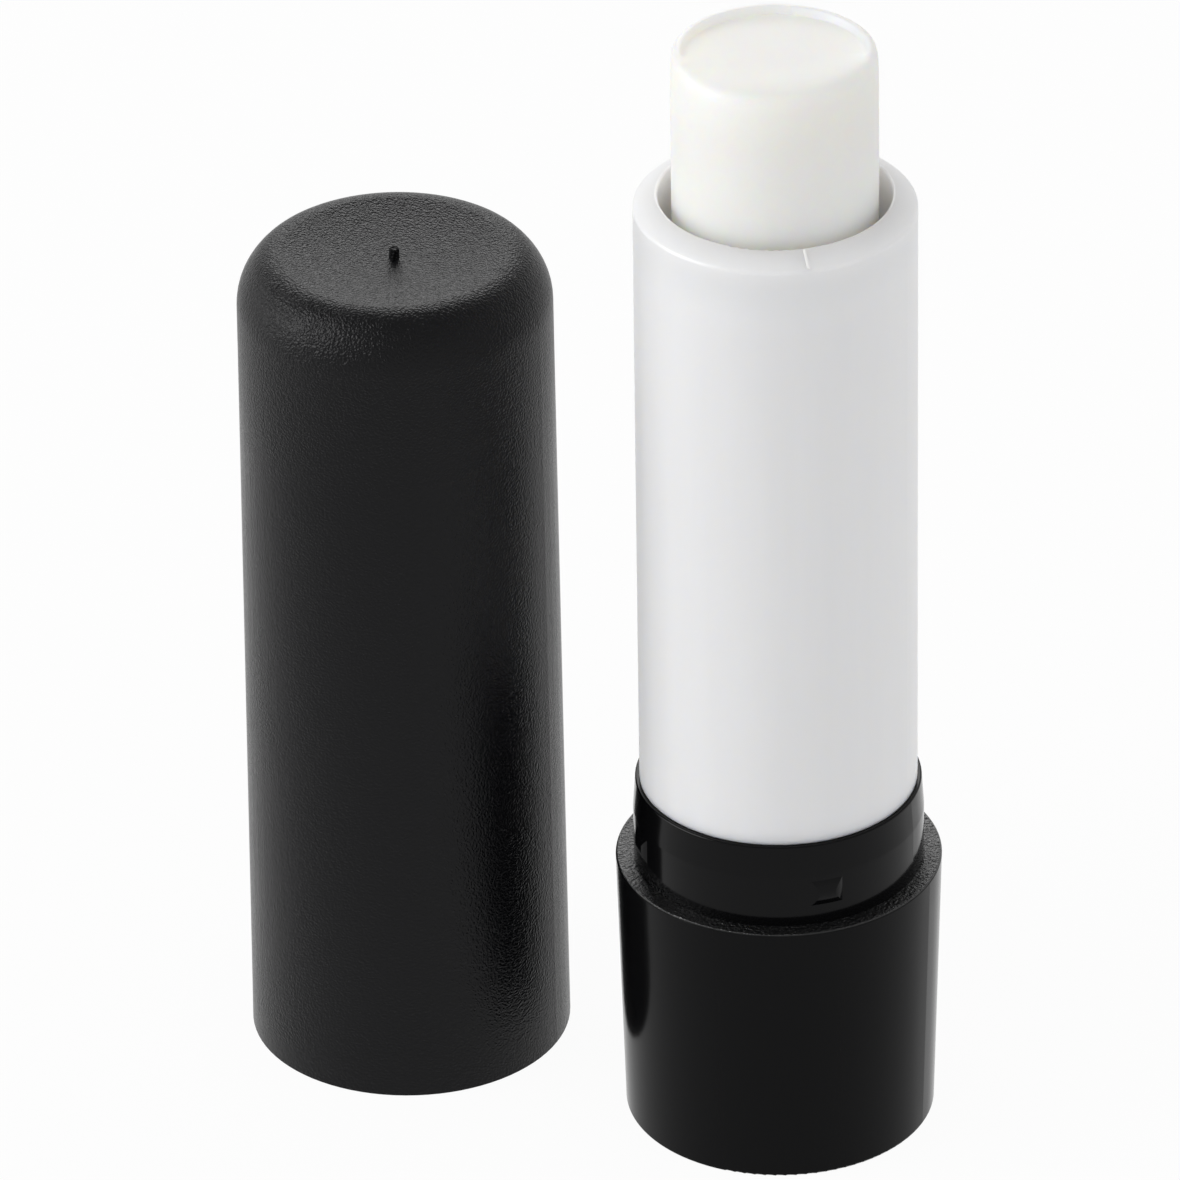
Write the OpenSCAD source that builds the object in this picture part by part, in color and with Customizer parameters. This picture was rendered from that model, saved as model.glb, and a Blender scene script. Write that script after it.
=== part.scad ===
// Round lip balm stick with its cap taken off and stood beside it.
// The base, its collar and the spindle turn as one. The tube is keyed to the carrier,
// so turning the base drives the carrier and the balm up or down the spindle.
// The origin is the centre of the base's foot, and +Z is up.

/* [Pose shown] */
// Height of the balm above its drawn-in place
balm_raise = 11; // [0:0.5:28]
// Distance from the stick's axis to the axis of the cap beside it
cap_away = 23.8; // [20.5:0.1:60]

/* [Balm] */
// Diameter of the balm
balm_d = 11.74; // [9:0.02:16]
// Length of the balm
balm_l = 43.5; // [30:0.5:60]
// Rounding of the balm's top edge
balm_edge = 0.53; // [0.1:0.01:2]
// Room round the spindle inside the balm
balm_room = 0.35; // [0.3:0.05:0.8]

/* [Spindle] */
// Diameter over the thread
thread_d = 4.2; // [3.6:0.1:5]
// Diameter between the threads
root_d = 2.9; // [2.4:0.1:3.2]
// Diameter of the cone that leads the nut on to the spindle's end, at its foot
tip_d = 2; // [1.6:0.1:2.1]
// Diameter of the cone at its end
tip_end_d = 1.2; // [0.8:0.1:1.5]
// Length of the cone
tip_cone = 0.8; // [0.5:0.1:1.5]
// Rise of the thread in one turn
lead = 4; // [3:0.5:6]
// Number of threads side by side
thread_starts = 2; // [2:1:3]
// Width of the six-sided plug across its corners
plug_w = 4.4; // [3.6:0.1:5.6]
// Diameter of the flange that sits on the hub
flange_d = 6.6; // [6:0.1:7.6]
// Thickness of the flange
flange_h = 1.2; // [0.6:0.1:2]

/* [Carrier] */
// Depth of the cup that holds the balm
cup_depth = 6; // [4:0.5:10]
// Thickness of the cup's floor
cup_floor = 1.2; // [0.8:0.1:2]
// Length of the nut below the floor
nut_h = 3.3; // [2:0.1:5]
// Diameter of the nut
nut_d = 7; // [6:0.1:9]
// Number of webs between the nut and the floor
nut_webs = 4; // [3:1:8]
// Height of a web
nut_web_h = 2; // [1:0.1:2]
// How far a web reaches out of the nut
nut_web_out = 2; // [1:0.1:2]
// Rise left between the spindle's flange and the nut when the balm is drawn in
nut_rest = 3.5; // [1:0.1:6]

/* [Tube] */
// Gap between the balm and the tube's bore
bore_gap = 0.78; // [0.75:0.01:1.2]
// Wall of the tube
tube_wall = 1.42; // [1.1:0.01:2.2]
// Depth of the lip above the drawn-in balm
tip_below = 1.9; // [0.5:0.1:5]
// Fall of the sloping rim from the lip to where the side starts
rim_drop = 0.93; // [0.6:0.01:1.2]
// Rounding of the rim's outer edge
rim_edge = 0.3; // [0.1:0.05:0.5]
// Rounding of the lip's inner edge
lip_edge = 0.12; // [0.05:0.01:0.2]
// Step in from the tube to the neck that turns in the collar
neck_step = 0.47; // [0.35:0.01:0.6]
// Height of the bead that holds the neck below the collar
bead_h = 1; // [0.6:0.1:1.6]
// How far the bead stands out of the neck
bead_out = 0.3; // [0.15:0.05:0.4]
// Number of keys down the bore
key_count = 4; // [2:1:6]
// Width of a key
key_w = 1.2; // [0.8:0.1:2]
// How far a key stands into the bore
key_out = 0.42; // [0.3:0.01:0.45]
// Depth below the lip where the keys end
key_stop = 4.5; // [1:0.1:6]

/* [Collar] */
// Wall of the collar
collar_wall = 0.8; // [0.7:0.05:1.4]
// Height of the collar above the base
collar_show = 5.2; // [4:0.1:10]
// Depth of the collar inside the base
collar_skirt = 7.85; // [4:0.05:8.2]
// Height of the lead-in at the collar's top
lead_in_h = 2; // [0.5:0.1:3]
// How far the lead-in draws in
lead_in = 0.13; // [0.02:0.01:0.3]
// Rounding of the collar's top edge
collar_edge = 0.1; // [0.05:0.01:0.2]
// Number of bumps that hold the cap
bump_count = 4; // [2:1:6]
// Width of a bump
bump_w = 1.9; // [1:0.1:3]
// Height of a bump
bump_h = 1.6; // [1:0.1:2]
// How far a bump stands out of the collar
bump_out = 0.2; // [0.1:0.01:0.3]
// Height of a bump's middle above the base
bump_up = 2.05; // [1.5:0.05:2.8]
// Angle of the first bump
bump_turn = 42; // [0:1:90]

/* [Base] */
// Wall of the base round the collar
base_wall = 1.05; // [0.8:0.05:2]
// Height of the base
base_h = 16.85; // [15:0.05:24]
// How far the side draws in from the rim to the foot
base_taper = 0.45; // [0:0.05:0.6]
// Thickness of the floor
base_floor = 1.4; // [0.8:0.1:2]
// Rounding of the foot's edge
foot_edge = 0.15; // [0.1:0.05:1]
// Rounding of the rim's edge
base_edge = 0.15; // [0.05:0.05:0.3]
// Diameter of the hub that grips the spindle
hub_d = 8; // [7.8:0.1:10]
// Height of the hub above the floor
hub_h = 4.4; // [3:0.1:5]
// Depth of the socket in the hub
socket_depth = 4; // [2.5:0.1:4.4]
// Number of webs round the hub
hub_webs = 6; // [3:1:8]
// Thickness of a web
web_w = 0.8; // [0.6:0.1:1.2]
// Height of a web above the floor
web_h = 2.6; // [1:0.1:3]

/* [Cap] */
// Step in from the base's rim to the cap's mouth
cap_inset = 0.05; // [0:0.01:0.2]
// How far the cap's side draws in from its mouth to its shoulder
cap_taper = 0.33; // [0:0.01:0.4]
// Room above the tube's lip inside the closed cap
cap_room = 6.4; // [2:0.1:12]
// Thickness of the cap's top at its middle
cap_top = 1.2; // [0.8:0.1:2]
// Diameter of the crest round the cap's top
crest_d = 13.2; // [10:0.1:13.8]
// Rounding of the crest
crest_round = 2; // [1.6:0.1:2.2]
// Angle at which the crest's rounding meets the shoulder's
crest_turn = 45; // [35:1:50]
// Depth of the dish in the cap's top
dish_depth = 0.45; // [0.3:0.05:0.9]
// Rounding of the corner inside the cap
cap_corner = 2.4; // [1:0.1:3]
// How far the cap's bore draws in from its mouth to its top
bore_taper = 0.2; // [0:0.01:0.25]
// Depth of the groove that takes the bumps
groove_depth = 0.12; // [0.05:0.01:0.2]
// Chamfer inside the cap's mouth
mouth_chamfer = 0.3; // [0.1:0.05:0.5]
// Diameter of the moulding nub in the dish
nub_d = 0.5; // [0.2:0.02:0.8]
// Height of the moulding nub
nub_h = 0.4; // [0.2:0.05:0.4]

/* [Fits] */
// Running gap between the neck and the collar
turn_gap = 0.05; // [0.02:0.01:0.1]
// Gap between the carrier and the tube's bore
slide_gap = 0.2; // [0.1:0.05:0.3]
// Gap between a key and its slot in the carrier
key_gap = 0.15; // [0.1:0.05:0.3]
// Radial gap between the spindle and the nut
thread_gap = 0.2; // [0.15:0.01:0.3]
// Gap round the bead inside the base
bead_gap = 0.2; // [0.1:0.05:0.4]
// Gap between the plug and its socket
plug_gap = 0.02; // [0:0.01:0.05]
// Gap between the cap's bore and the collar
cap_gap = 0.15; // [0.05:0.01:0.3]
// Gap left above the carrier when the balm is fully raised
stop_gap = 0.4; // [0.1:0.1:2]
// Gap left above the spindle inside the balm
tip_gap = 0.5; // [0.3:0.1:2]

/* [Hidden] */
$fn = 128;

// Extra depth of a cut past the face that it opens
cut = 1;
// Half the angle that a thread's crest covers, and half that of its root
crest_half = 16;
root_half = 28;
// Angle by which the nut's groove is wider than the thread on each side
flank_gap = 10;
// Facets of the thread in one turn
thread_steps = 12;

// Radii, from the balm outwards
balm_r = balm_d / 2;
bore_r = balm_r + bore_gap;
tube_r = bore_r + tube_wall;
neck_r = tube_r - neck_step;
bead_r = neck_r + bead_out;
collar_bore_r = neck_r + turn_gap;
collar_r = collar_bore_r + collar_wall;
base_r = collar_r + base_wall;
foot_r = base_r - base_taper;
well_r = bead_r + bead_gap;
carrier_r = bore_r - slide_gap;
thread_r = thread_d / 2;
root_r = root_d / 2;

// Heights, from the foot upwards
hub_top = base_floor + hub_h;
flange_top = hub_top + flange_h;
nut_low = flange_top + nut_rest;
balm_low = nut_low + nut_h + cup_floor;
tip_low = balm_low + balm_l;
lip_z = tip_low + tip_below;
collar_top = base_h + collar_show;
collar_low = base_h - collar_skirt;
tube_low = collar_low - turn_gap - bead_h;
raise_most = lip_z - stop_gap - cup_depth - balm_low;
spindle_top = balm_low + raise_most;
balm_z = balm_low + balm_raise;
nut_z = nut_low + balm_raise;

// Cap, measured from its own mouth
cap_r = base_r - cap_inset;
cap_bore_r = collar_r + cap_gap;
cap_inner_h = lip_z - base_h + cap_room;
cap_h = cap_inner_h + cap_top + dish_depth;
shoulder_r = cap_r - cap_taper;
crest_r = crest_d / 2;
crest_z = cap_h - crest_round;
// The shoulder's arc is as wide as it must be to run on from the crest's and end upright
shoulder_round = (shoulder_r - crest_r - crest_round * cos(crest_turn)) / (1 - cos(crest_turn));
shoulder_x = shoulder_r - shoulder_round;
shoulder_z = crest_z - (shoulder_round - crest_round) * sin(crest_turn);
dish_z = cap_h - dish_depth;
// The dish is part of the sphere that meets the crest's rounding smoothly
dish_fall = dish_z - crest_z;
dish_r = (pow(crest_r, 2) + pow(dish_fall, 2) - pow(crest_round, 2)) / (2 * (crest_round - dish_fall));

function polar(r, angle) = [r * cos(angle), r * sin(angle)];

// A corner of a profile rounded off: what is cut away from a square corner at (x, z)
// that points outwards and up, or down where up is -1
module corner_cut(x, z, r, up = 1) {
    difference() {
        translate([x - r, up > 0 ? z - r : z - cut])
            square([r + cut, r + cut]);
        translate([x - r, z - up * r])
            circle(r);
    }
}

// Cross-section of a thread with its crests at crest_at from the axis
function thread_section(crest_at, root_at, widen) = [
    for (start = [0 : thread_starts - 1])
        for (corner = [
            [crest_at, -crest_half - widen],
            [crest_at, crest_half + widen],
            [root_at, 180 / thread_starts - root_half * 2 / thread_starts + widen],
            [root_at, 180 / thread_starts + root_half * 2 / thread_starts - widen]
        ])
            polar(corner[0], corner[1] + start * 360 / thread_starts)
];

// A thread from one height to another, in phase with every other one on this axis
module thread(crest_at, root_at, widen, from_z, to_z) {
    turns = (to_z - from_z) / lead;
    translate([0, 0, from_z])
        rotate(360 * from_z / lead)
            linear_extrude(height = to_z - from_z, twist = -360 * turns,
                           slices = ceil(turns * thread_steps), segments = 1)
                polygon(thread_section(crest_at, root_at, widen));
}

module base() {
    color("#242426") {
        difference() {
            rotate_extrude()
                difference() {
                    polygon([[0, 0], [foot_r, 0], [base_r, base_h], [0, base_h]]);
                    corner_cut(foot_r + base_taper * foot_edge / base_h, 0, foot_edge, -1);
                    corner_cut(base_r, base_h, base_edge);
                }
            translate([0, 0, collar_low])
                cylinder(r = collar_r, h = collar_skirt + cut);
            translate([0, 0, base_floor])
                cylinder(r = well_r, h = base_h);
        }
        translate([0, 0, base_floor])
            difference() {
                union() {
                    cylinder(d = hub_d, h = hub_h);
                    intersection() {
                        for (web = [0 : hub_webs - 1])
                            rotate(web * 360 / hub_webs)
                                translate([0, -web_w / 2, 0])
                                    cube([base_r, web_w, web_h]);
                        cylinder(r = well_r, h = web_h);
                    }
                }
                translate([0, 0, hub_h - socket_depth])
                    cylinder(d = plug_w + 2 * plug_gap, h = socket_depth + cut, $fn = 6);
            }
    }
}

module spindle() {
    color("#e4e4e0") {
        translate([0, 0, hub_top - socket_depth])
            cylinder(d = plug_w, h = socket_depth, $fn = 6);
        translate([0, 0, hub_top])
            cylinder(d = flange_d, h = flange_h);
        thread(thread_r, root_r, 0, flange_top, spindle_top - tip_cone);
        translate([0, 0, spindle_top - tip_cone])
            cylinder(d1 = tip_d, d2 = tip_end_d, h = tip_cone);
    }
}

module collar() {
    color("#1b1b1d")
        difference() {
            union() {
                rotate_extrude() {
                    polygon([
                        [0, collar_low],
                        [collar_r, collar_low],
                        [collar_r, collar_top - lead_in_h],
                        [collar_r - lead_in, collar_top - collar_edge],
                        [collar_r - lead_in - collar_edge, collar_top],
                        [0, collar_top]
                    ]);
                    translate([collar_r - lead_in - collar_edge, collar_top - collar_edge])
                        circle(collar_edge);
                }
                for (bump = [0 : bump_count - 1])
                    rotate(bump_turn + bump * 360 / bump_count)
                        bump();
            }
            translate([0, 0, collar_low - cut])
                cylinder(r = collar_bore_r, h = collar_skirt + collar_show + 2 * cut);
        }
}

// Radius of the arc that bulges by a height over a chord
function bulge_r(chord, height) = (pow(chord / 2, 2) + pow(height, 2)) / (2 * height);

// One bump: a cushion, where a bulging ring and an upright cylinder overlap.
// The cylinder stands out a little further than the ring, so that they cross cleanly
module bump() {
    ring_arc = bulge_r(bump_h, bump_out);
    side_x = sqrt(pow(collar_r, 2) - pow(bump_w / 2, 2));
    front_x = collar_r + 1.3 * bump_out;
    side_arc = bulge_r(bump_w, front_x - side_x);
    translate([0, 0, base_h + bump_up])
        intersection() {
            rotate_extrude()
                intersection() {
                    translate([collar_r + bump_out - ring_arc, 0])
                        circle(ring_arc);
                    translate([collar_r - collar_wall / 2, -bump_h / 2])
                        square([collar_wall, bump_h]);
                }
            translate([front_x - side_arc, 0, -bump_h])
                cylinder(r = side_arc, h = 2 * bump_h);
        }
}

module tube() {
    // The rim is the line that touches the rounding of its outer edge and that of the lip
    lip_at = [bore_r + lip_edge, lip_z - lip_edge];
    edge_at = [tube_r - rim_edge, lip_z - rim_drop];
    across = edge_at - lip_at;
    slope = atan2(-across[1], across[0]) + asin((lip_edge - rim_edge) / norm(across));
    rim_normal = [sin(slope), cos(slope)];
    color("#f2f2f0") {
        difference() {
            rotate_extrude() {
                polygon([
                    [0, tube_low],
                    [neck_r, tube_low],
                    [bead_r, tube_low + bead_h / 2],
                    [bead_r, tube_low + bead_h],
                    [neck_r, tube_low + bead_h],
                    [neck_r, collar_top + turn_gap],
                    [tube_r, collar_top + turn_gap],
                    [tube_r, edge_at[1]],
                    edge_at + rim_edge * rim_normal,
                    lip_at + lip_edge * rim_normal,
                    [bore_r, lip_at[1]],
                    [0, lip_at[1]]
                ]);
                translate(edge_at)
                    circle(rim_edge);
                translate(lip_at)
                    circle(lip_edge);
            }
            translate([0, 0, tube_low - cut])
                cylinder(r = bore_r, h = lip_z - tube_low + 2 * cut);
        }
        intersection() {
            for (key = [0 : key_count - 1])
                rotate(key * 360 / key_count)
                    translate([bore_r - key_out, -key_w / 2, tube_low])
                        cube([key_out + neck_r - bore_r, key_w, lip_z - key_stop - tube_low]);
            translate([0, 0, tube_low])
                cylinder(r = (bore_r + neck_r) / 2, h = lip_z - tube_low);
        }
    }
}

module carrier() {
    slot_w = key_w + 2 * key_gap;
    color("#eeeeea")
        difference() {
            translate([0, 0, balm_raise]) {
                translate([0, 0, balm_low - cup_floor])
                    cylinder(r = carrier_r, h = cup_floor + cup_depth);
                translate([0, 0, nut_low])
                    cylinder(d = nut_d, h = nut_h + cup_floor);
                for (web = [0 : nut_webs - 1])
                    rotate((web + 0.5) * 360 / nut_webs)
                        nut_web();
            }
            translate([0, 0, balm_z])
                cylinder(r = balm_r, h = cup_depth + cut);
            thread(thread_r + thread_gap, root_r + thread_gap, flank_gap, nut_z - cut, balm_z + cut);
            for (key = [0 : key_count - 1])
                rotate(key * 360 / key_count)
                    translate([bore_r - key_out - key_gap, -slot_w / 2, balm_z - cup_floor - cut])
                        cube([key_out + cut, slot_w, cup_floor + cup_depth + 2 * cut]);
        }
}

// One of the webs that stiffen the nut under the cup's floor
module nut_web() {
    out_x = nut_d / 2 + nut_web_out;
    floor_low = balm_low - cup_floor;
    translate([0, web_w / 2, 0])
        rotate([90, 0, 0])
            linear_extrude(height = web_w)
                polygon([
                    [thread_r + thread_gap + web_w, floor_low - nut_web_h],
                    [nut_d / 2, floor_low - nut_web_h],
                    [out_x, floor_low],
                    [out_x, floor_low + cup_floor / 2],
                    [thread_r + thread_gap + web_w, floor_low + cup_floor / 2]
                ]);
}

module balm() {
    color("#efeee6")
        translate([0, 0, balm_z])
            difference() {
                rotate_extrude()
                    difference() {
                        square([balm_r, balm_l]);
                        corner_cut(balm_r, balm_l, balm_edge);
                    }
                translate([0, 0, -cut])
                    cylinder(r = thread_r + balm_room, h = raise_most + tip_gap + cut);
            }
}

// Half of the cap's outside: a drafted side, two arcs over the shoulder and the dish
module cap_outline() {
    difference() {
        union() {
            polygon([[0, 0], [cap_r, 0], [shoulder_r, shoulder_z], [0, shoulder_z]]);
            intersection() {
                translate([shoulder_x, shoulder_z])
                    circle(shoulder_round);
                polygon([
                    [shoulder_x, shoulder_z],
                    [shoulder_r + cut, shoulder_z],
                    [shoulder_r + cut, cap_h],
                    [shoulder_x, shoulder_z] + polar(2 * shoulder_round, crest_turn)
                ]);
            }
            translate([crest_r, crest_z])
                circle(crest_round);
            square([crest_r, cap_h]);
            translate([shoulder_x, 0])
                square([crest_r + crest_round * cos(crest_turn) - shoulder_x, crest_z]);
        }
        translate([0, dish_z + dish_r])
            circle(dish_r);
        translate([-crest_round, 0])
            square([crest_round, cap_h]);
    }
}

// Half of the space inside the cap
module cap_hollow() {
    top_r = cap_bore_r - bore_taper;
    difference() {
        union() {
            polygon([
                [0, -cut],
                [cap_bore_r + mouth_chamfer + cut, -cut],
                [cap_bore_r, mouth_chamfer],
                [top_r, cap_inner_h],
                [0, cap_inner_h]
            ]);
            groove();
        }
        corner_cut(top_r, cap_inner_h, cap_corner);
    }
}

// The groove near the mouth that the bumps snap into
module groove() {
    low = bump_up - bump_h / 2;
    polygon([
        [0, low - groove_depth],
        [cap_bore_r, low - groove_depth],
        [cap_bore_r + groove_depth, low],
        [cap_bore_r + groove_depth, low + bump_h],
        [cap_bore_r, low + bump_h + groove_depth],
        [0, low + bump_h + groove_depth]
    ]);
}

module cap() {
    color("#2a2a2c")
        translate([-cap_away, 0, 0]) {
            difference() {
                rotate_extrude()
                    cap_outline();
                rotate_extrude()
                    cap_hollow();
            }
            translate([0, 0, dish_z - cap_top / 2])
                cylinder(d = nub_d, h = nub_h + cap_top / 2);
        }
}

base();
spindle();
collar();
tube();
carrier();
balm();
cap();
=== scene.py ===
# %% [markdown]
# # A round lip balm stick and its cap
#
# The stick stands on its foot with the balm turned part of the way up, and its cap stands
# beside it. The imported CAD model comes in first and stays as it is: its seven solids already
# have the right shapes. This lesson gives each solid its finish, makes the balm again with
# the marks of its mould, and adds two small moulding marks.
#
# Everything is in metres, because the CAD model is, so sizes are written in millimetres
# and multiplied by MM.

# %% Load the model
import math

import bmesh
import bpy
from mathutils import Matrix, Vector


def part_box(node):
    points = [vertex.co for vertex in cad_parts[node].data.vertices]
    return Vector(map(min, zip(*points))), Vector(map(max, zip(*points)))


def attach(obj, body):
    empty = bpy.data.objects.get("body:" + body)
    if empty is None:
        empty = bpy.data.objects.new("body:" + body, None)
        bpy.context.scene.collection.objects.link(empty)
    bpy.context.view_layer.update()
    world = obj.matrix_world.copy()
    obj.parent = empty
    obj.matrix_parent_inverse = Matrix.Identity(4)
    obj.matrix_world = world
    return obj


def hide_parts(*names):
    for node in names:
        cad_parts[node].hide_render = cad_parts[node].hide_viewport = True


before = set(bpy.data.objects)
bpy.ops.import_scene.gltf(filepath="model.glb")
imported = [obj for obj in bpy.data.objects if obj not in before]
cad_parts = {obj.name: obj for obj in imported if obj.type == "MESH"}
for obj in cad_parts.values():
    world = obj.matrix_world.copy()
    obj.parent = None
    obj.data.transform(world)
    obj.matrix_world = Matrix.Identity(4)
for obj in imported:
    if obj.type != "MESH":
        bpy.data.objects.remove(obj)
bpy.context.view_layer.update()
MM = 0.001
print("nodes:", sorted(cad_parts))
for name in sorted(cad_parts):
    low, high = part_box(name)
    print(name, [round(v / MM, 2) for v in low], [round(v / MM, 2) for v in high])

# %% [markdown]
# ## The camera
#
# The picture was taken from well away with a long lens, so upright edges hardly converge.
# The place, lens and tilt below were worked out from the round edges of the base, the tube
# and the cap: each circle is seen as an ellipse whose proportions give the height of the
# camera. A small roll of the camera makes the uprights lean as they do in the picture.

# %% Camera
LENS = 372.1
SENSOR = 36.0
CAMERA_AT = Vector((0.2351, -0.5559, 0.3909))
LOOK_AT = Vector((-0.00984, -0.00437, 0.03453))
ROLL = math.radians(-0.84)

bpy.ops.object.select_all(action="DESELECT")
bpy.ops.object.camera_add(location=CAMERA_AT)
camera = bpy.context.object
camera.name = "camera"
camera.data.lens = LENS
camera.data.sensor_width = SENSOR
camera.data.clip_start = 0.01
aim = (LOOK_AT - CAMERA_AT).to_track_quat("-Z", "Y")
camera.rotation_euler = (aim.to_matrix() @ Matrix.Rotation(ROLL, 3, "Z")).to_euler()
bpy.context.scene.camera = camera
print("camera to object:", round((LOOK_AT - CAMERA_AT).length, 4), "m")

# %% [markdown]
# ## Light
#
# A product like this is shot on a white sweep under soft boxes. The world gives most of the
# light. Overhead it is about half as strong as at the horizon, as in a room with white walls,
# so the top of the balm comes out hardly brighter than its sides. One large lamp on the left
# makes the left of the white tube lighter than its right, and a weak one fills in from the
# right. Two cards are there for the gloss alone: the dish in the cap's top is seen only
# because it mirrors the one behind, and the cap's shoulder mirrors the one on the left.

# %% World
view = bpy.context.scene.view_settings
view.view_transform = "Standard"
world = bpy.data.worlds.new("studio")
bpy.context.scene.world = world
world.use_nodes = True
world.node_tree.nodes.clear()


def add_node(tree, kind, sockets=(), **settings):
    """Adds a node. sockets pairs an input with a value, or with the output that feeds it."""
    node = tree.nodes.new(kind)
    for setting, value in settings.items():
        setattr(node, setting, value)
    for socket, value in dict(sockets).items():
        if isinstance(value, bpy.types.NodeSocket):
            tree.links.new(value, node.inputs[socket])
        else:
            node.inputs[socket].default_value = value
    return node


AT_HORIZON = 0.95
OVERHEAD = 0.5
direction = add_node(world.node_tree, "ShaderNodeTexCoord")
upward = add_node(world.node_tree, "ShaderNodeSeparateXYZ",
                  {0: direction.outputs["Generated"]})
level = add_node(world.node_tree, "ShaderNodeMapRange",
                 {"Value": upward.outputs["Z"], "To Min": AT_HORIZON, "To Max": OVERHEAD})
sky = add_node(world.node_tree, "ShaderNodeBackground",
               {"Color": (1, 1, 1, 1), "Strength": level.outputs[0]})
add_node(world.node_tree, "ShaderNodeOutputWorld", {"Surface": sky.outputs[0]})
print("world strength:", AT_HORIZON, "down to", OVERHEAD)

# %% Lamps
def add_lamp(name, place, target, size, watts):
    """A rectangular soft box at a place, turned to a target."""
    bpy.ops.object.light_add(type="AREA", location=place)
    lamp = bpy.context.object
    lamp.name = name
    lamp.data.shape = "RECTANGLE"
    lamp.data.size = size[0]
    lamp.data.size_y = size[1]
    lamp.data.energy = watts
    lamp.rotation_euler = (Vector(target) - Vector(place)).to_track_quat("-Z", "Y").to_euler()
    lamp.visible_camera = False
    print(name, "shines", round(watts / (math.pi * size[0] * size[1]), 2), "times white")
    return lamp


MIDDLE = (-0.01, 0, 0.035)
CAP_SHOULDER = (-0.024, 0, 0.049)
CAP_DISH = (-0.024, 0, 0.051)
add_lamp("key_left", (-0.61, -0.43, 0.42), MIDDLE, (0.5, 0.42), 2.5)
fill_right = add_lamp("fill_right", (0.75, 0.05, 0.3), MIDDLE, (0.6, 0.5), 0.3)
fill_right.visible_glossy = False
card_left = add_lamp("card_left", (-0.62, -0.38, 0.37), CAP_SHOULDER, (0.6, 0.5), 4.5)
card_left.visible_diffuse = False
card_behind = add_lamp("card_behind", (-0.145, 0.26, 0.19), CAP_DISH, (0.16, 0.19), 0.27)
card_behind.visible_diffuse = False

# %% [markdown]
# ## The floor
#
# The floor is one large plane. The camera, mirrors and clear things see it as white paper,
# so most of it is emission at a strength of 1. A share of plain diffuse white stays in the
# mix, and that share is what the object's shadow falls on. All other rays see only the
# diffuse white, so the glow adds no light to the object.

# %% Floor
def new_material(name):
    """An empty material and its node tree."""
    material = bpy.data.materials.new(name)
    material.use_nodes = True
    material.node_tree.nodes.clear()
    return material, material.node_tree


GLOW_SHARE = 0.95
bpy.ops.mesh.primitive_plane_add(size=6, location=(0, 0, -0.02 * MM))
floor = bpy.context.object
floor.name = "floor"
paper, tree = new_material("white_paper")
path = add_node(tree, "ShaderNodeLightPath")
seen = add_node(tree, "ShaderNodeMath", {0: path.outputs["Is Camera Ray"],
                                         1: path.outputs["Is Glossy Ray"]}, operation="MAXIMUM")
seen = add_node(tree, "ShaderNodeMath", {0: seen.outputs[0],
                                         1: path.outputs["Is Transmission Ray"]},
                operation="MAXIMUM")
share = add_node(tree, "ShaderNodeMath", {0: seen.outputs[0], 1: GLOW_SHARE},
                 operation="MULTIPLY")
matt = add_node(tree, "ShaderNodeBsdfDiffuse", {"Color": (0.85, 0.85, 0.85, 1)})
glow = add_node(tree, "ShaderNodeEmission", {"Color": (1, 1, 1, 1), "Strength": 1.0})
mix = add_node(tree, "ShaderNodeMixShader", {0: share.outputs[0], 1: matt.outputs[0],
                                             2: glow.outputs[0]})
add_node(tree, "ShaderNodeOutputMaterial", {"Surface": mix.outputs[0]})
floor.data.materials.append(paper)

# %% [markdown]
# ## Colours
#
# A colour picked from a picture or a swatch is sRGB. Shaders work in linear light, so one
# function turns the usual hex code into the linear numbers.

# %% Hex to linear
def linear(code):
    """An sRGB hex colour as a linear RGBA tuple."""
    channels = [int(code[i:i + 2], 16) / 255 for i in (1, 3, 5)]
    return tuple(c / 12.92 if c < 0.04045 else ((c + 0.055) / 1.055) ** 2.4
                 for c in channels) + (1.0,)


print("the cap's black in linear:", [round(v, 4) for v in linear("#0C0C0E")])

# %% [markdown]
# ## Grained black polypropylene: the cap
#
# The cap is injection moulded in black polypropylene, in a mould whose steel was spark
# eroded. The skin copies that steel: a fine grain about 0.14 mm across that breaks up the
# gloss. A grained skin gives back less light than a polished one, so the specular level is
# low. The grain is a bump from noise: one fine size, and one four times coarser.

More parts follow.
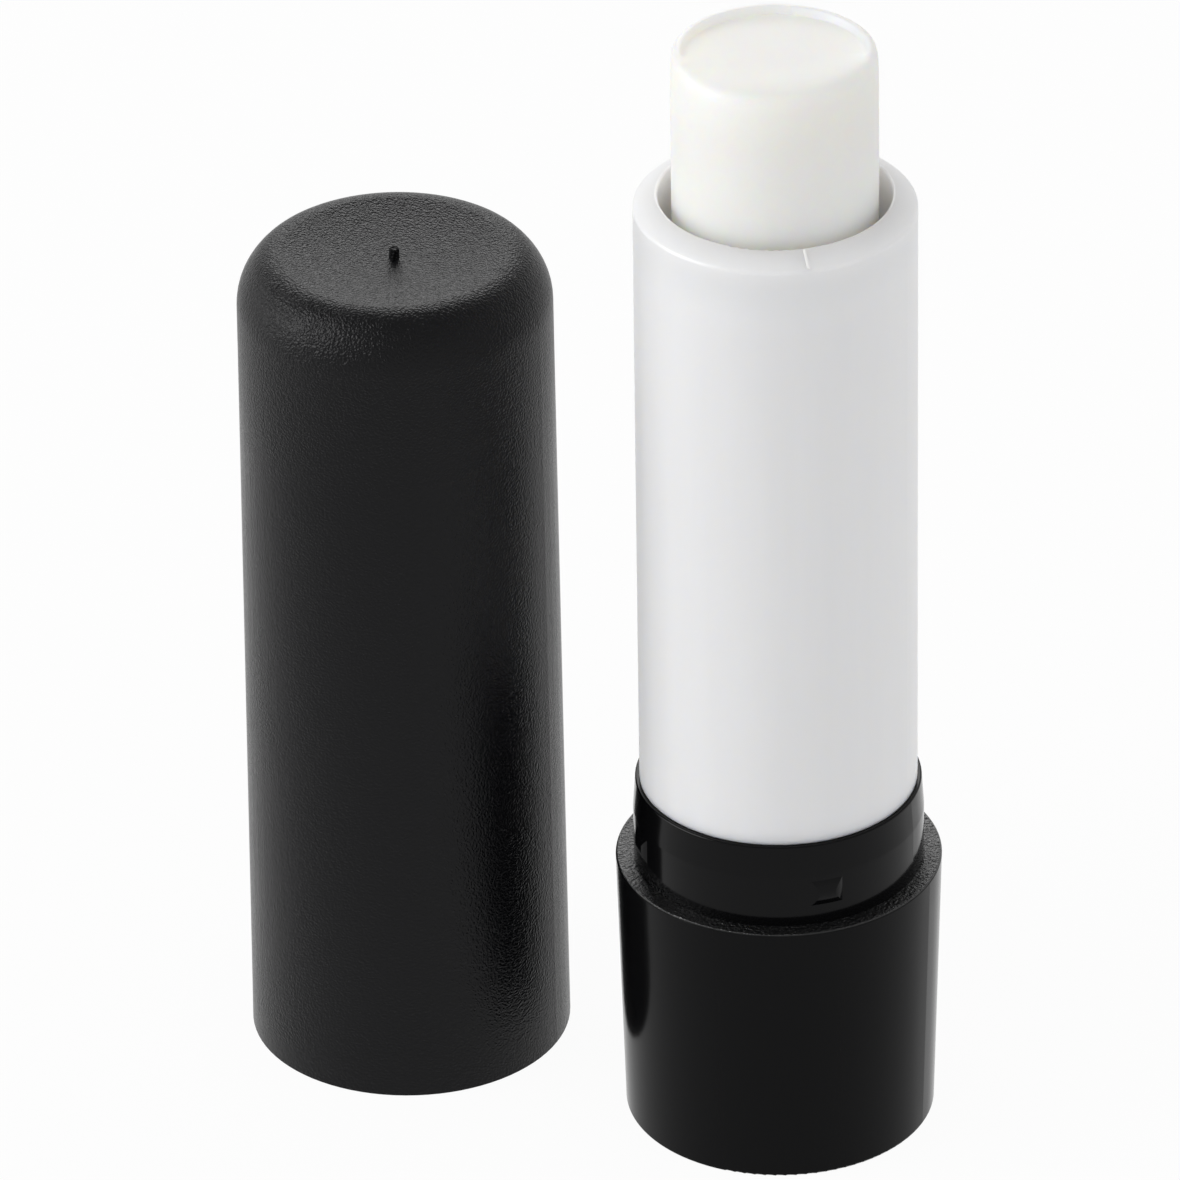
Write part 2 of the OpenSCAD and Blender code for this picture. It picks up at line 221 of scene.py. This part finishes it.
# %% Grained black polypropylene
def grained_black_polypropylene():
    material, tree = new_material("grained_black_polypropylene")
    place = add_node(tree, "ShaderNodeTexCoord").outputs["Object"]
    # One period of noise is about one grain, so the scale is 1 over the grain in metres
    grain = add_node(tree, "ShaderNodeTexNoise",
                     {"Vector": place, "Scale": 1 / (0.14 * MM), "Detail": 1.0})
    patches = add_node(tree, "ShaderNodeTexNoise",
                       {"Vector": place, "Scale": 1 / (0.6 * MM), "Detail": 2.0})
    handled = add_node(tree, "ShaderNodeTexNoise",
                       {"Vector": place, "Scale": 1 / (7 * MM), "Detail": 3.0})
    # The upright side rubs on the steel as it leaves the mould: less of the grain is left
    height = add_node(tree, "ShaderNodeSeparateXYZ", {0: place})
    kept = add_node(tree, "ShaderNodeMapRange",
                    {"Value": height.outputs["Z"], "From Min": 40 * MM, "From Max": 48 * MM,
                     "To Min": 0.55, "To Max": 1.0})
    relief = add_node(tree, "ShaderNodeMath", {0: grain.outputs[0], 1: kept.outputs[0]},
                      operation="MULTIPLY")
    fine = add_node(tree, "ShaderNodeBump",
                    {"Height": relief.outputs[0], "Strength": 1.0, "Distance": 0.09 * MM})
    coarse = add_node(tree, "ShaderNodeBump",
                      {"Height": patches.outputs[0], "Strength": 0.5, "Distance": 0.02 * MM,
                       "Normal": fine.outputs[0]})
    # Handling polishes the grain in places: roughness drifts over some millimetres
    drift = add_node(tree, "ShaderNodeMapRange",
                     {"Value": handled.outputs[0], "To Min": 0.18, "To Max": 0.25})
    rough = add_node(tree, "ShaderNodeMath",
                     {0: kept.outputs[0], 1: 0.09, 2: drift.outputs[0]},
                     operation="MULTIPLY_ADD")
    shader = add_node(tree, "ShaderNodeBsdfPrincipled",
                      {"Base Color": linear("#0C0C0E"), "Roughness": rough.outputs[0],
                       "IOR": 1.49, "Specular IOR Level": 0.15,
                       "Normal": coarse.outputs[0]})
    add_node(tree, "ShaderNodeOutputMaterial", {"Surface": shader.outputs[0]})
    return material


black_grained = grained_black_polypropylene()

# %% [markdown]
# ## Satin black polypropylene: the base
#
# The side of the base is smoother than the cap: it mirrors the cap beside it. Its rim is
# flat and gets knocked by the cap's mouth, so there the skin is rough and pitted. The rim is
# picked out by two facts about a point of the surface: it faces up, and it is at the rim's
# height. Both are measured in the object's own coordinates, so they move with the base.

# %% Satin black polypropylene
BASE_H = 16.85 * MM


def satin_black_polypropylene():
    material, tree = new_material("satin_black_polypropylene")
    coords = add_node(tree, "ShaderNodeTexCoord")
    place = coords.outputs["Object"]
    facing = add_node(tree, "ShaderNodeSeparateXYZ", {0: coords.outputs["Normal"]})
    spot = add_node(tree, "ShaderNodeSeparateXYZ", {0: place})
    upward = add_node(tree, "ShaderNodeMapRange",
                      {"Value": facing.outputs["Z"], "From Min": 0.5, "From Max": 0.95})
    rim_high = add_node(tree, "ShaderNodeMath",
                        {0: spot.outputs["Z"], 1: BASE_H - 0.2 * MM}, operation="GREATER_THAN")
    rim = add_node(tree, "ShaderNodeMath", {0: upward.outputs[0], 1: rim_high.outputs[0]},
                   operation="MULTIPLY")
    # Waves of the moulding 1.2 mm apart, and pits 0.18 mm across that only the rim has
    waves = add_node(tree, "ShaderNodeTexNoise",
                     {"Vector": place, "Scale": 1 / (1.2 * MM), "Detail": 2.0})
    pits = add_node(tree, "ShaderNodeTexNoise",
                    {"Vector": place, "Scale": 1 / (0.18 * MM), "Detail": 2.0})
    pit_depth = add_node(tree, "ShaderNodeMath", {0: pits.outputs[0], 1: rim.outputs[0]},
                         operation="MULTIPLY")
    wavy = add_node(tree, "ShaderNodeBump",
                    {"Height": waves.outputs[0], "Strength": 0.3, "Distance": 0.01 * MM})
    pitted = add_node(tree, "ShaderNodeBump",
                      {"Height": pit_depth.outputs[0], "Strength": 1.0,
                       "Distance": 0.15 * MM, "Normal": wavy.outputs[0]})
    # The knocked rim is burnished, so it gets a coat that gives back more light
    rough = add_node(tree, "ShaderNodeMapRange",
                     {"Value": rim.outputs[0], "To Min": 0.15, "To Max": 0.4})
    shader = add_node(tree, "ShaderNodeBsdfPrincipled",
                      {"Base Color": linear("#09090A"), "Roughness": rough.outputs[0],
                       "IOR": 1.49, "Specular IOR Level": 0.08,
                       "Coat Weight": rim.outputs[0], "Coat Roughness": 0.3,
                       "Coat Normal": pitted.outputs[0], "Normal": pitted.outputs[0]})
    add_node(tree, "ShaderNodeOutputMaterial", {"Surface": shader.outputs[0]})
    return material


black_satin = satin_black_polypropylene()

# %% [markdown]
# ## Polished black polypropylene: the collar
#
# The collar is a separate moulding from a polished mould, so that the cap slides on easily.
# It mirrors sharply. Pulling the cap off and on leaves faint hair scratches along the axis.

# %% Polished black polypropylene
def polished_black_polypropylene():
    material, tree = new_material("polished_black_polypropylene")
    place = add_node(tree, "ShaderNodeTexCoord").outputs["Object"]
    # Hair scratches 0.1 mm apart round the collar and about 3 mm long up it
    stretched = add_node(tree, "ShaderNodeMapping",
                         {"Vector": place, "Scale": (1 / (0.1 * MM), 1 / (0.1 * MM),
                                                     1 / (3 * MM))})
    hairs = add_node(tree, "ShaderNodeTexNoise",
                     {"Vector": stretched.outputs[0], "Scale": 1.0, "Detail": 1.0})
    flow = add_node(tree, "ShaderNodeTexNoise",
                    {"Vector": place, "Scale": 1 / (2.5 * MM), "Detail": 2.0})
    scuffed = add_node(tree, "ShaderNodeBump",
                       {"Height": hairs.outputs[0], "Strength": 0.3,
                        "Distance": 0.002 * MM})
    wavy = add_node(tree, "ShaderNodeBump",
                    {"Height": flow.outputs[0], "Strength": 0.4, "Distance": 0.02 * MM,
                     "Normal": scuffed.outputs[0]})
    rough = add_node(tree, "ShaderNodeMapRange",
                     {"Value": flow.outputs[0], "To Min": 0.08, "To Max": 0.16})
    shader = add_node(tree, "ShaderNodeBsdfPrincipled",
                      {"Base Color": linear("#060607"), "Roughness": rough.outputs[0],
                       "IOR": 1.49, "Specular IOR Level": 0.12, "Normal": wavy.outputs[0]})
    add_node(tree, "ShaderNodeOutputMaterial", {"Surface": shader.outputs[0]})
    return material


black_polished = polished_black_polypropylene()

# %% [markdown]
# ## White polypropylene: the tube
#
# The tube is moulded in white polypropylene. Its pigment is dense, yet a little light still
# wanders under the skin, so edges glow softly: that is subsurface scattering over about
# the thickness of the wall. The skin has a soft sheen with faint waves along the flow of the plastic.

# %% White polypropylene
def white_polypropylene(name, scatter):
    """scatter is the share of light that goes into the plastic: none in a thin flash."""
    material, tree = new_material(name)
    place = add_node(tree, "ShaderNodeTexCoord").outputs["Object"]
    # Flow waves 1.5 mm apart round the tube and drawn out to 20 mm along it
    drawn = add_node(tree, "ShaderNodeMapping",
                     {"Vector": place, "Scale": (1 / (1.5 * MM), 1 / (1.5 * MM),
                                                 1 / (20 * MM))})
    waves = add_node(tree, "ShaderNodeTexNoise",
                     {"Vector": drawn.outputs[0], "Scale": 1.0, "Detail": 2.0})
    skin = add_node(tree, "ShaderNodeTexNoise",
                    {"Vector": place, "Scale": 1 / (0.12 * MM), "Detail": 1.0})
    orange_peel = add_node(tree, "ShaderNodeBump",
                           {"Height": skin.outputs[0], "Strength": 0.3,
                            "Distance": 0.006 * MM})
    flowing = add_node(tree, "ShaderNodeBump",
                       {"Height": waves.outputs[0], "Strength": 0.5, "Distance": 0.02 * MM,
                        "Normal": orange_peel.outputs[0]})
    tint = add_node(tree, "ShaderNodeMix",
                    {0: waves.outputs[0], 6: linear("#EFEFF0"), 7: linear("#F3F3F4")},
                    data_type="RGBA")
    # Towards the lip the wall is lit from both sides, so light carries further through it
    height = add_node(tree, "ShaderNodeSeparateXYZ", {0: place})
    lip = add_node(tree, "ShaderNodeMapRange",
                   {"Value": height.outputs["Z"], "From Min": 55 * MM, "From Max": 60 * MM},
                   interpolation_type="SMOOTHSTEP")
    depth = add_node(tree, "ShaderNodeMapRange",
                     {"Value": lip.outputs[0], "To Min": 1.2 * MM, "To Max": 3.5 * MM})
    # Painted glow: the colour is painted paler towards the lip, for the light that comes through the
    # wall there
    painted_lip_glow = add_node(tree, "ShaderNodeMix",
                     {0: lip.outputs[0], 6: tint.outputs[2], 7: linear("#FDFCFB")},
                     data_type="RGBA")
    rough = add_node(tree, "ShaderNodeMapRange",
                     {"Value": skin.outputs[0], "To Min": 0.32, "To Max": 0.42})
    shader = add_node(tree, "ShaderNodeBsdfPrincipled",
                      {"Base Color": painted_lip_glow.outputs[2], "Roughness": rough.outputs[0],
                       "IOR": 1.49, "Subsurface Weight": scatter,
                       "Subsurface Radius": (1.0, 0.95, 0.85),
                       "Subsurface Scale": depth.outputs[0],
                       "Normal": flowing.outputs[0]})
    add_node(tree, "ShaderNodeOutputMaterial", {"Surface": shader.outputs[0]})
    return material


white_tube = white_polypropylene("white_polypropylene", 1.0)
white_flash = white_polypropylene("white_polypropylene_flash", 0.0)

# %% [markdown]
# ## Uncoloured plastic: the spindle and the carrier
#
# Inside pieces are moulded in the plastic as it comes, without dye. It is milky: light goes
# some way in, so it looks softer and a little warmer than the white of the tube.

# %% Uncoloured polypropylene
def uncoloured_polypropylene():
    material, tree = new_material("uncoloured_polypropylene")
    place = add_node(tree, "ShaderNodeTexCoord").outputs["Object"]
    # Cloudiness of the plastic, about 2 mm across
    cloud = add_node(tree, "ShaderNodeTexNoise",
                     {"Vector": place, "Scale": 1 / (2 * MM), "Detail": 3.0})
    skin = add_node(tree, "ShaderNodeTexNoise",
                    {"Vector": place, "Scale": 1 / (0.2 * MM), "Detail": 1.0})
    tint = add_node(tree, "ShaderNodeMix",
                    {0: cloud.outputs[0], 6: linear("#DDDCD6"), 7: linear("#E9E8E3")},
                    data_type="RGBA")
    peel = add_node(tree, "ShaderNodeBump",
                    {"Height": skin.outputs[0], "Strength": 0.3, "Distance": 0.01 * MM})
    rough = add_node(tree, "ShaderNodeMapRange",
                     {"Value": cloud.outputs[0], "To Min": 0.3, "To Max": 0.42})
    shader = add_node(tree, "ShaderNodeBsdfPrincipled",
                      {"Base Color": tint.outputs[2], "Roughness": rough.outputs[0],
                       "IOR": 1.49, "Subsurface Weight": 0.5,
                       "Subsurface Radius": (1.0, 0.95, 0.85), "Subsurface Scale": 1 * MM,
                       "Normal": peel.outputs[0]})
    add_node(tree, "ShaderNodeOutputMaterial", {"Surface": shader.outputs[0]})
    return material


milky = uncoloured_polypropylene()

# %% [markdown]
# ## Cast wax: the balm
#
# Balm is a blend of waxes and oils, poured hot and chilled. Light travels a millimetre or
# two inside it, so shadows on it are soft and where it sits deep in the white tube the
# light that comes back is warmer. The surface copies a smooth mould, with faint chill
# ripples and here and there a pinhole.

# %% Cast wax
def cast_wax():
    material, tree = new_material("cast_wax")
    place = add_node(tree, "ShaderNodeTexCoord").outputs["Object"]
    # Chill ripples about 3 mm apart
    ripples = add_node(tree, "ShaderNodeTexNoise",
                       {"Vector": place, "Scale": 1 / (3 * MM), "Detail": 2.0})
    # Crystals in the wax's skin, drawn at 0.25 mm so that they just show
    crystals = add_node(tree, "ShaderNodeTexNoise",
                        {"Vector": place, "Scale": 1 / (0.25 * MM), "Detail": 2.0})
    # Pinholes sit at the middles of cells 2.5 mm wide, and only some cells have one
    cells = add_node(tree, "ShaderNodeTexVoronoi", {"Vector": place, "Scale": 1 / (2.5 * MM)})
    hole = add_node(tree, "ShaderNodeMapRange",
                    {"Value": cells.outputs["Distance"], "From Min": 0.03, "From Max": 0.06,
                     "To Min": 1.0, "To Max": 0.0})
    luck = add_node(tree, "ShaderNodeMath", {0: cells.outputs["Color"], 1: 0.6},
                    operation="GREATER_THAN")
    hole = add_node(tree, "ShaderNodeMath", {0: hole.outputs[0], 1: luck.outputs[0]},
                    operation="MULTIPLY")
    tint = add_node(tree, "ShaderNodeMix",
                    {0: ripples.outputs[0], 6: linear("#FAF6F0"), 7: linear("#FDFAF5")},
                    data_type="RGBA")
    wavy = add_node(tree, "ShaderNodeBump",
                    {"Height": ripples.outputs[0], "Strength": 0.5, "Distance": 0.06 * MM})
    waxy = add_node(tree, "ShaderNodeBump",
                    {"Height": crystals.outputs[0], "Strength": 0.25, "Distance": 0.01 * MM,
                     "Normal": wavy.outputs[0]})
    pitted = add_node(tree, "ShaderNodeBump",
                      {"Height": hole.outputs[0], "Strength": 0.6, "Distance": 0.05 * MM,
                       "Normal": waxy.outputs[0]}, invert=True)
    rough = add_node(tree, "ShaderNodeMapRange",
                     {"Value": crystals.outputs[0], "To Min": 0.38, "To Max": 0.52})
    shader = add_node(tree, "ShaderNodeBsdfPrincipled",
                      {"Base Color": tint.outputs[2], "Roughness": rough.outputs[0],
                       "IOR": 1.44, "Specular IOR Level": 0.3, "Subsurface Weight": 1.0,
                       "Subsurface Radius": (1.0, 0.8, 0.5), "Subsurface Scale": 2.5 * MM,
                       "Normal": pitted.outputs[0]})
    add_node(tree, "ShaderNodeOutputMaterial", {"Surface": shader.outputs[0]})
    return material


wax = cast_wax()

# %% [markdown]
# ## Finishes on the solids
#
# The solids keep their shapes. Each has a material slot from the CAD model, and the new
# material goes into that slot.

# %% Give the solids their finishes
FINISHES = {"base": black_satin, "cap": black_grained, "collar": black_polished,
            "tube": white_tube, "spindle": milky, "carrier": milky, "balm": wax}
for name, finish in FINISHES.items():
    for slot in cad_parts[name].material_slots:
        slot.material = finish
    print(name, "is", finish.name)

# %% [markdown]
# ## The balm
#
# The balm is a cast bullet with a long hole where the spindle stands. Its face is tilted: it
# falls towards the far side, so that the rounded edge stands above it there as a fine lip,
# with a small cusp in its middle. The near edge is worn round. It could be made by
# revolving a profile, but such a top isn't the same all round, so a cylinder is shaped
# instead: the hole is inset and pushed in, the edge is bevelled, the face is lowered and
# tilted, the cusp is drawn out with proportional editing, and the near edge is smoothed.

# %% Helpers for work in edit mode
def pick(piece, kind, test):
    """In edit mode, selects only the verts, edges or faces whose middle passes the test."""
    mesh = bmesh.from_edit_mesh(piece.data)
    mesh.select_mode = {{"verts": "VERT", "edges": "EDGE", "faces": "FACE"}[kind]}
    bpy.context.tool_settings.mesh_select_mode = (kind == "verts", kind == "edges",
                                                  kind == "faces")
    for part in list(mesh.verts) + list(mesh.edges) + list(mesh.faces):
        part.select = False
    count = 0
    for part in getattr(mesh, kind):
        corners = [part] if kind == "verts" else part.verts
        middle = sum((v.co for v in corners), Vector()) / len(corners)
        if test(middle):
            part.select_set(True)
            count += 1
    mesh.select_flush_mode()
    bmesh.update_edit_mesh(piece.data)
    return count


def reach(point):
    """Distance of a point from the stick's axis."""
    return math.hypot(point.x, point.y)


def near(value, wanted, slack=0.02 * MM):
    return abs(value - wanted) < slack


# %% Balm: the bullet and its hole
BALM_R = 5.87 * MM
HOLE_R = 2.45 * MM
HOLE_DEEP = 39.5 * MM
low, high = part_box("balm")
bpy.ops.object.select_all(action="DESELECT")
bpy.ops.mesh.primitive_cylinder_add(vertices=160, radius=BALM_R, depth=high.z - low.z,
                                    location=(0, 0, (low.z + high.z) / 2))
balm = bpy.context.object
balm.name = "balm_bullet"
bpy.ops.object.transform_apply(location=True, rotation=True, scale=True)
bpy.ops.object.mode_set(mode="EDIT")
pick(balm, "faces", lambda p: near(p.z, low.z))
bpy.ops.mesh.inset(thickness=BALM_R - HOLE_R)
bpy.ops.mesh.extrude_region_move(TRANSFORM_OT_translate={"value": (0, 0, HOLE_DEEP)})
print("hole top at", round((low.z + HOLE_DEEP) / MM, 2), "mm")

# %% Balm: the rounded edge and the rings of the top
EDGE_ROUND = 0.53 * MM
# Widths of the rings inside the rounded edge in mm, from outside: a flat, the lip's slope
# and the rings of the face
RINGS_IN = (0.06, 0.2, 0.2, 0.4, 0.7, 1.0, 1.2)
# Depths of the rings below the top in mm. They give the worn edge points to move
RINGS_BELOW = (0.9, 1.3, 1.8, 2.4, 3.2)
LIP_IN = BALM_R - EDGE_ROUND - RINGS_IN[0] * MM
FACE_R = LIP_IN - RINGS_IN[1] * MM
HAIR = 0.001 * MM


def on_top(point):
    return near(point.z, high.z, HAIR)


for below in RINGS_BELOW:
    bpy.ops.mesh.select_all(action="SELECT")
    bpy.ops.mesh.bisect(plane_co=(0, 0, high.z - below * MM), plane_no=(0, 0, 1))
pick(balm, "edges", lambda p: near(p.z, high.z) and reach(p) > BALM_R - 0.1 * MM)
bpy.ops.mesh.bevel(offset=EDGE_ROUND, offset_type="OFFSET", segments=8, profile=0.5,
                   affect="EDGES")
for ring in RINGS_IN:
    pick(balm, "faces", lambda p: on_top(p) and reach(p) < HAIR)
    bpy.ops.mesh.inset(thickness=ring * MM)
bpy.ops.mesh.poke()
print("faces so far:", len(bmesh.from_edit_mesh(balm.data).faces))

# %% Balm: the tilted face and its lip
def turned(point, angle):
    """How far round the axis a point lies from an angle, without sign."""
    gap = math.atan2(point.y, point.x) - angle
    return abs((gap + math.pi) % (2 * math.pi) - math.pi)


# The far side is the side away from the camera
FAR = math.atan2(LOOK_AT.y - CAMERA_AT.y, LOOK_AT.x - CAMERA_AT.x)
far_way = Vector((math.cos(FAR), math.sin(FAR), 0))
LIP_H = 0.5 * MM
pick(balm, "verts", lambda p: on_top(p) and reach(p) < FACE_R + 0.02 * MM)
bpy.ops.transform.translate(value=(0, 0, -LIP_H / 2))
mesh = bmesh.from_edit_mesh(balm.data)
for vert in mesh.verts:
    if vert.select:
        vert.co.z -= vert.co.dot(far_way) * LIP_H / 2 / FACE_R
bmesh.update_edit_mesh(balm.data)

# %% Balm: the cusp and the lip's soft edges
CUSP_AT = FAR - 0.05
CUSP_OUT = 0.16 * MM
CUSP_SPREAD = 1.5 * MM
LIP_SPAN = 1.7
cusp = pick(balm, "verts", lambda p: turned(p, CUSP_AT) < 0.04
            and near(reach(p), FACE_R, 0.05 * MM))
bpy.ops.transform.translate(value=far_way * CUSP_OUT, use_proportional_edit=True,
                            proportional_edit_falloff="SHARP",
                            proportional_size=CUSP_SPREAD)
print("cusp points:", cusp)
soft = pick(balm, "edges", lambda p: p.z > high.z - 2 * LIP_H and turned(p, FAR) < LIP_SPAN
            and (near(reach(p), LIP_IN) or near(reach(p), FACE_R)))
bpy.ops.mesh.bevel(offset=0.07 * MM, segments=2, affect="EDGES")
print("edges of the lip:", soft)

# %% Balm: the worn near edge
# Smoothed most at its middle, and less and less sideways: each pair is an angle to either
# side of the middle, and how often the points within it are smoothed
WEAR = ((1.95, 4), (1.75, 10), (1.5, 20), (1.3, 40), (1.1, 30))
WORN_REACH = 2 * MM
for spread, times in WEAR:
    worn = pick(balm, "verts", lambda p: turned(p, FAR + math.pi) < spread
                and p.z > high.z - WORN_REACH and reach(p) > BALM_R - WORN_REACH)
    bpy.ops.mesh.vertices_smooth(factor=0.5, repeat=times)
    print("worn points within", spread, "rad:", worn)
bpy.ops.mesh.select_all(action="SELECT")
bpy.ops.mesh.normals_make_consistent(inside=False)
bpy.ops.object.mode_set(mode="OBJECT")

# %% Balm: smooth shading and its place
bpy.ops.object.shade_smooth_by_angle(angle=math.radians(40))
balm.data.materials.append(wax)
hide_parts("balm")
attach(balm, "carrier")

# %% [markdown]
# ## The gate mark in the cap's dish
#
# The plastic of the cap comes in through a pin-sized gate at the middle of its top. When
# the mould opens the thread of plastic tears off and leaves a nub. The CAD model has the
# nub as a short pin. A sheath over it gets the torn, uneven end: a short cylinder whose
# rim is rounded and whose top is cut on a slant.

# %% Gate mark
cap_low, cap_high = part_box("cap")
CAP_X = (cap_low.x + cap_high.x) / 2
DISH_Z = 51.15 * MM
NUB_R = 0.27 * MM
NUB_TOP = 0.62 * MM
NUB_LONG = 1.1 * MM
TORN_SLANT = (0.3, -0.1, 1)
bpy.ops.object.select_all(action="DESELECT")
bpy.ops.mesh.primitive_cylinder_add(vertices=24, radius=NUB_R, depth=NUB_LONG,
                                    location=(CAP_X, 0, DISH_Z + NUB_TOP - NUB_LONG / 2))
gate = bpy.context.object
gate.name = "cap_gate_mark"
bpy.ops.object.transform_apply(location=True, rotation=True, scale=True)
bpy.ops.object.mode_set(mode="EDIT")
bpy.ops.mesh.select_all(action="SELECT")
bpy.ops.mesh.bisect(plane_co=(CAP_X, 0, DISH_Z + NUB_TOP - 0.015 * MM),
                    plane_no=TORN_SLANT, clear_outer=True, use_fill=True)
pick(gate, "faces", lambda p: p.z > DISH_Z + NUB_TOP - 0.12 * MM)
bpy.ops.mesh.inset(thickness=0.06 * MM)
bpy.ops.mesh.bevel(offset=0.02 * MM, segments=2, affect="EDGES")
bpy.ops.mesh.select_all(action="SELECT")
bpy.ops.transform.vertex_random(offset=0.05 * MM, uniform=1.0, seed=4)
bpy.ops.mesh.normals_make_consistent(inside=False)
bpy.ops.object.mode_set(mode="OBJECT")
bpy.ops.object.shade_smooth_by_angle(angle=math.radians(30))
gate.data.materials.append(black_grained)
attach(gate, "cap")
print("gate mark at x =", round(CAP_X / MM, 2), "mm")

# %% [markdown]
# ## The seam tick on the tube's rim
#
# Where two halves of the mould's rim insert meet, a hair of plastic creeps in and stays as
# a fine upright tick on the sloping rim. It is a thin bar laid on the slope.

# %% Seam tick
RIM_SLOPE = math.radians(31)
TICK_TURN = math.radians(-53.5)
RIM_MIDDLE = (7.38 * MM, 0, 60.06 * MM)
TICK_SIZE = (1.25 * MM, 0.17 * MM, 0.06 * MM)
bpy.ops.object.select_all(action="DESELECT")
bpy.ops.mesh.primitive_cube_add(size=1, location=RIM_MIDDLE, rotation=(0, RIM_SLOPE, 0),
                                scale=TICK_SIZE)
tick = bpy.context.object
tick.name = "tube_rim_seam"
bpy.ops.object.transform_apply(location=True, rotation=True, scale=True)
bpy.ops.object.mode_set(mode="EDIT")
bpy.ops.mesh.select_all(action="SELECT")
bpy.ops.mesh.bevel(offset=0.02 * MM, segments=2, affect="EDGES")
bpy.ops.mesh.select_all(action="SELECT")
# With no window this operator turns the other way, so the angle gets a minus sign
bpy.ops.transform.rotate(value=-TICK_TURN, orient_axis="Z", center_override=(0, 0, 0))
bpy.ops.object.mode_set(mode="OBJECT")
bpy.ops.object.shade_smooth_by_angle(angle=math.radians(40))
tick.data.materials.append(white_flash)
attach(tick, "tube")
print("tick's middle:", [round(sum(v.co[i] for v in tick.data.vertices)
                               / len(tick.data.vertices) / MM, 2) for i in range(3)])
